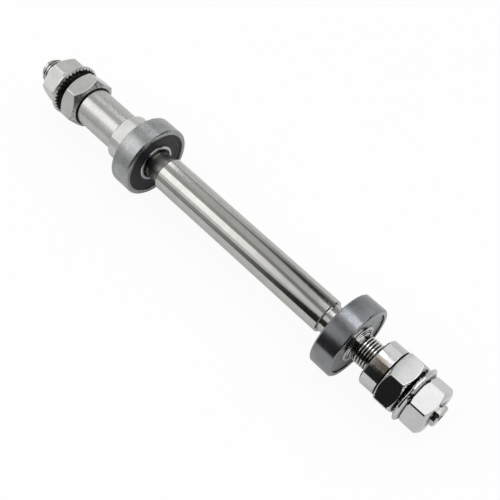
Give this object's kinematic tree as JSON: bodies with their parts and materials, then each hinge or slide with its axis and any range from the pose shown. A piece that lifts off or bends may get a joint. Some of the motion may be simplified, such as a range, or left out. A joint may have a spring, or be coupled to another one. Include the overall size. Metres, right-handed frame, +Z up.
{
  "type": "bicycle hub axle",
  "caption": "Solid rear hub axle with sealed bearings, spacers, locknuts and hexagon wheel nuts with captive toothed washers.",
  "frame": {"origin": "on the axle's centre line, midway between its two ends", "axes": "+Y along the axle from the drive (sprocket) side to the other side, +Z up, +X across"},
  "size_m": [0.026, 0.1806, 0.026],
  "materials": {
    "polished_steel": "ground and polished, cut thread at both ends",
    "satin_nickel": "satin nickel plate",
    "chrome_plate": "bright chrome plate",
    "bearing_steel": "ground bearing steel",
    "shield_steel": "pressed sheet",
    "ball_steel": "lapped",
    "cage_steel": "pressed strip",
    "black_rubber": "moulded, slight sheen"
  },
  "bodies": {
    "axle": {"axle_shaft": "polished_steel", "drive_spacer_sleeve": "satin_nickel", "drive_bearing_nut": "bearing_steel", "drive_locknut": "satin_nickel", "non_drive_end_nut": "chrome_plate", "non_drive_locknut": "chrome_plate", "drive_bearing_inner_ring": "bearing_steel", "non_drive_bearing_inner_ring": "bearing_steel"},
    "drive_outer_race": {"drive_bearing_outer_ring": "bearing_steel", "drive_bearing_outboard_seal": "black_rubber", "drive_bearing_inboard_seal": "black_rubber"},
    "drive_ball_cage": {"drive_bearing_balls": "bearing_steel", "drive_bearing_cage_rivets": "bearing_steel", "drive_bearing_outboard_cage_half": "bearing_steel", "drive_bearing_inboard_cage_half": "bearing_steel"},
    "non_drive_outer_race": {"non_drive_bearing_outer_ring": "bearing_steel", "non_drive_bearing_outboard_shield": "shield_steel", "non_drive_bearing_inboard_shield": "shield_steel"},
    "non_drive_ball_cage": {"non_drive_bearing_balls": "bearing_steel", "non_drive_bearing_cage_rivets": "bearing_steel", "non_drive_bearing_outboard_cage_half": "bearing_steel", "non_drive_bearing_inboard_cage_half": "bearing_steel"},
    "drive_washer": {"drive_toothed_washer": "satin_nickel"},
    "drive_nut": {"drive_track_nut": "satin_nickel"},
    "non_drive_washer": {"non_drive_toothed_washer": "chrome_plate"},
    "non_drive_nut": {"non_drive_track_nut": "chrome_plate"}
  },
  "joints": [
    {"name": "drive_hub_turn", "type": "hinge", "parent": "axle", "child": "drive_outer_race", "pos_m": [0, -0.0365, 0], "axis": [0, 1, 0], "continuous": true},
    {"name": "drive_cage_turn", "type": "hinge", "parent": "axle", "child": "drive_ball_cage", "pos_m": [0, -0.0365, 0], "axis": [0, 1, 0], "continuous": true},
    {"name": "non_drive_hub_turn", "type": "hinge", "parent": "axle", "child": "non_drive_outer_race", "pos_m": [0, 0.0548, 0], "axis": [0, 1, 0], "continuous": true},
    {"name": "non_drive_cage_turn", "type": "hinge", "parent": "axle", "child": "non_drive_ball_cage", "pos_m": [0, 0.0548, 0], "axis": [0, 1, 0], "continuous": true},
    {"name": "drive_washer_travel", "type": "slide", "parent": "axle", "child": "drive_washer", "axis": [0, -1, 0], "range_m": [-0.00176, 0.00977]},
    {"name": "drive_nut_turn", "type": "hinge", "parent": "drive_washer", "child": "drive_nut", "pos_m": [0, -0.082, 0], "axis": [0, -1, 0], "range_deg": [-648, 3600]},
    {"name": "non_drive_washer_travel", "type": "slide", "parent": "axle", "child": "non_drive_washer", "axis": [0, 1, 0], "range_m": [-0.00015, 0.00586]},
    {"name": "non_drive_nut_turn", "type": "hinge", "parent": "non_drive_washer", "child": "non_drive_nut", "pos_m": [0, 0.082, 0], "axis": [0, 1, 0], "range_deg": [-54, 2160]}
  ],
  "couplings": [
    {"joint": "drive_cage_turn", "follows": "drive_hub_turn", "ratio": 0.63228},
    {"joint": "non_drive_cage_turn", "follows": "non_drive_hub_turn", "ratio": 0.63228},
    {"joint": "drive_washer_travel", "follows": "drive_nut_turn", "m_per_rad": 0.00015549},
    {"joint": "non_drive_washer_travel", "follows": "non_drive_nut_turn", "m_per_rad": 0.00015549}
  ]
}
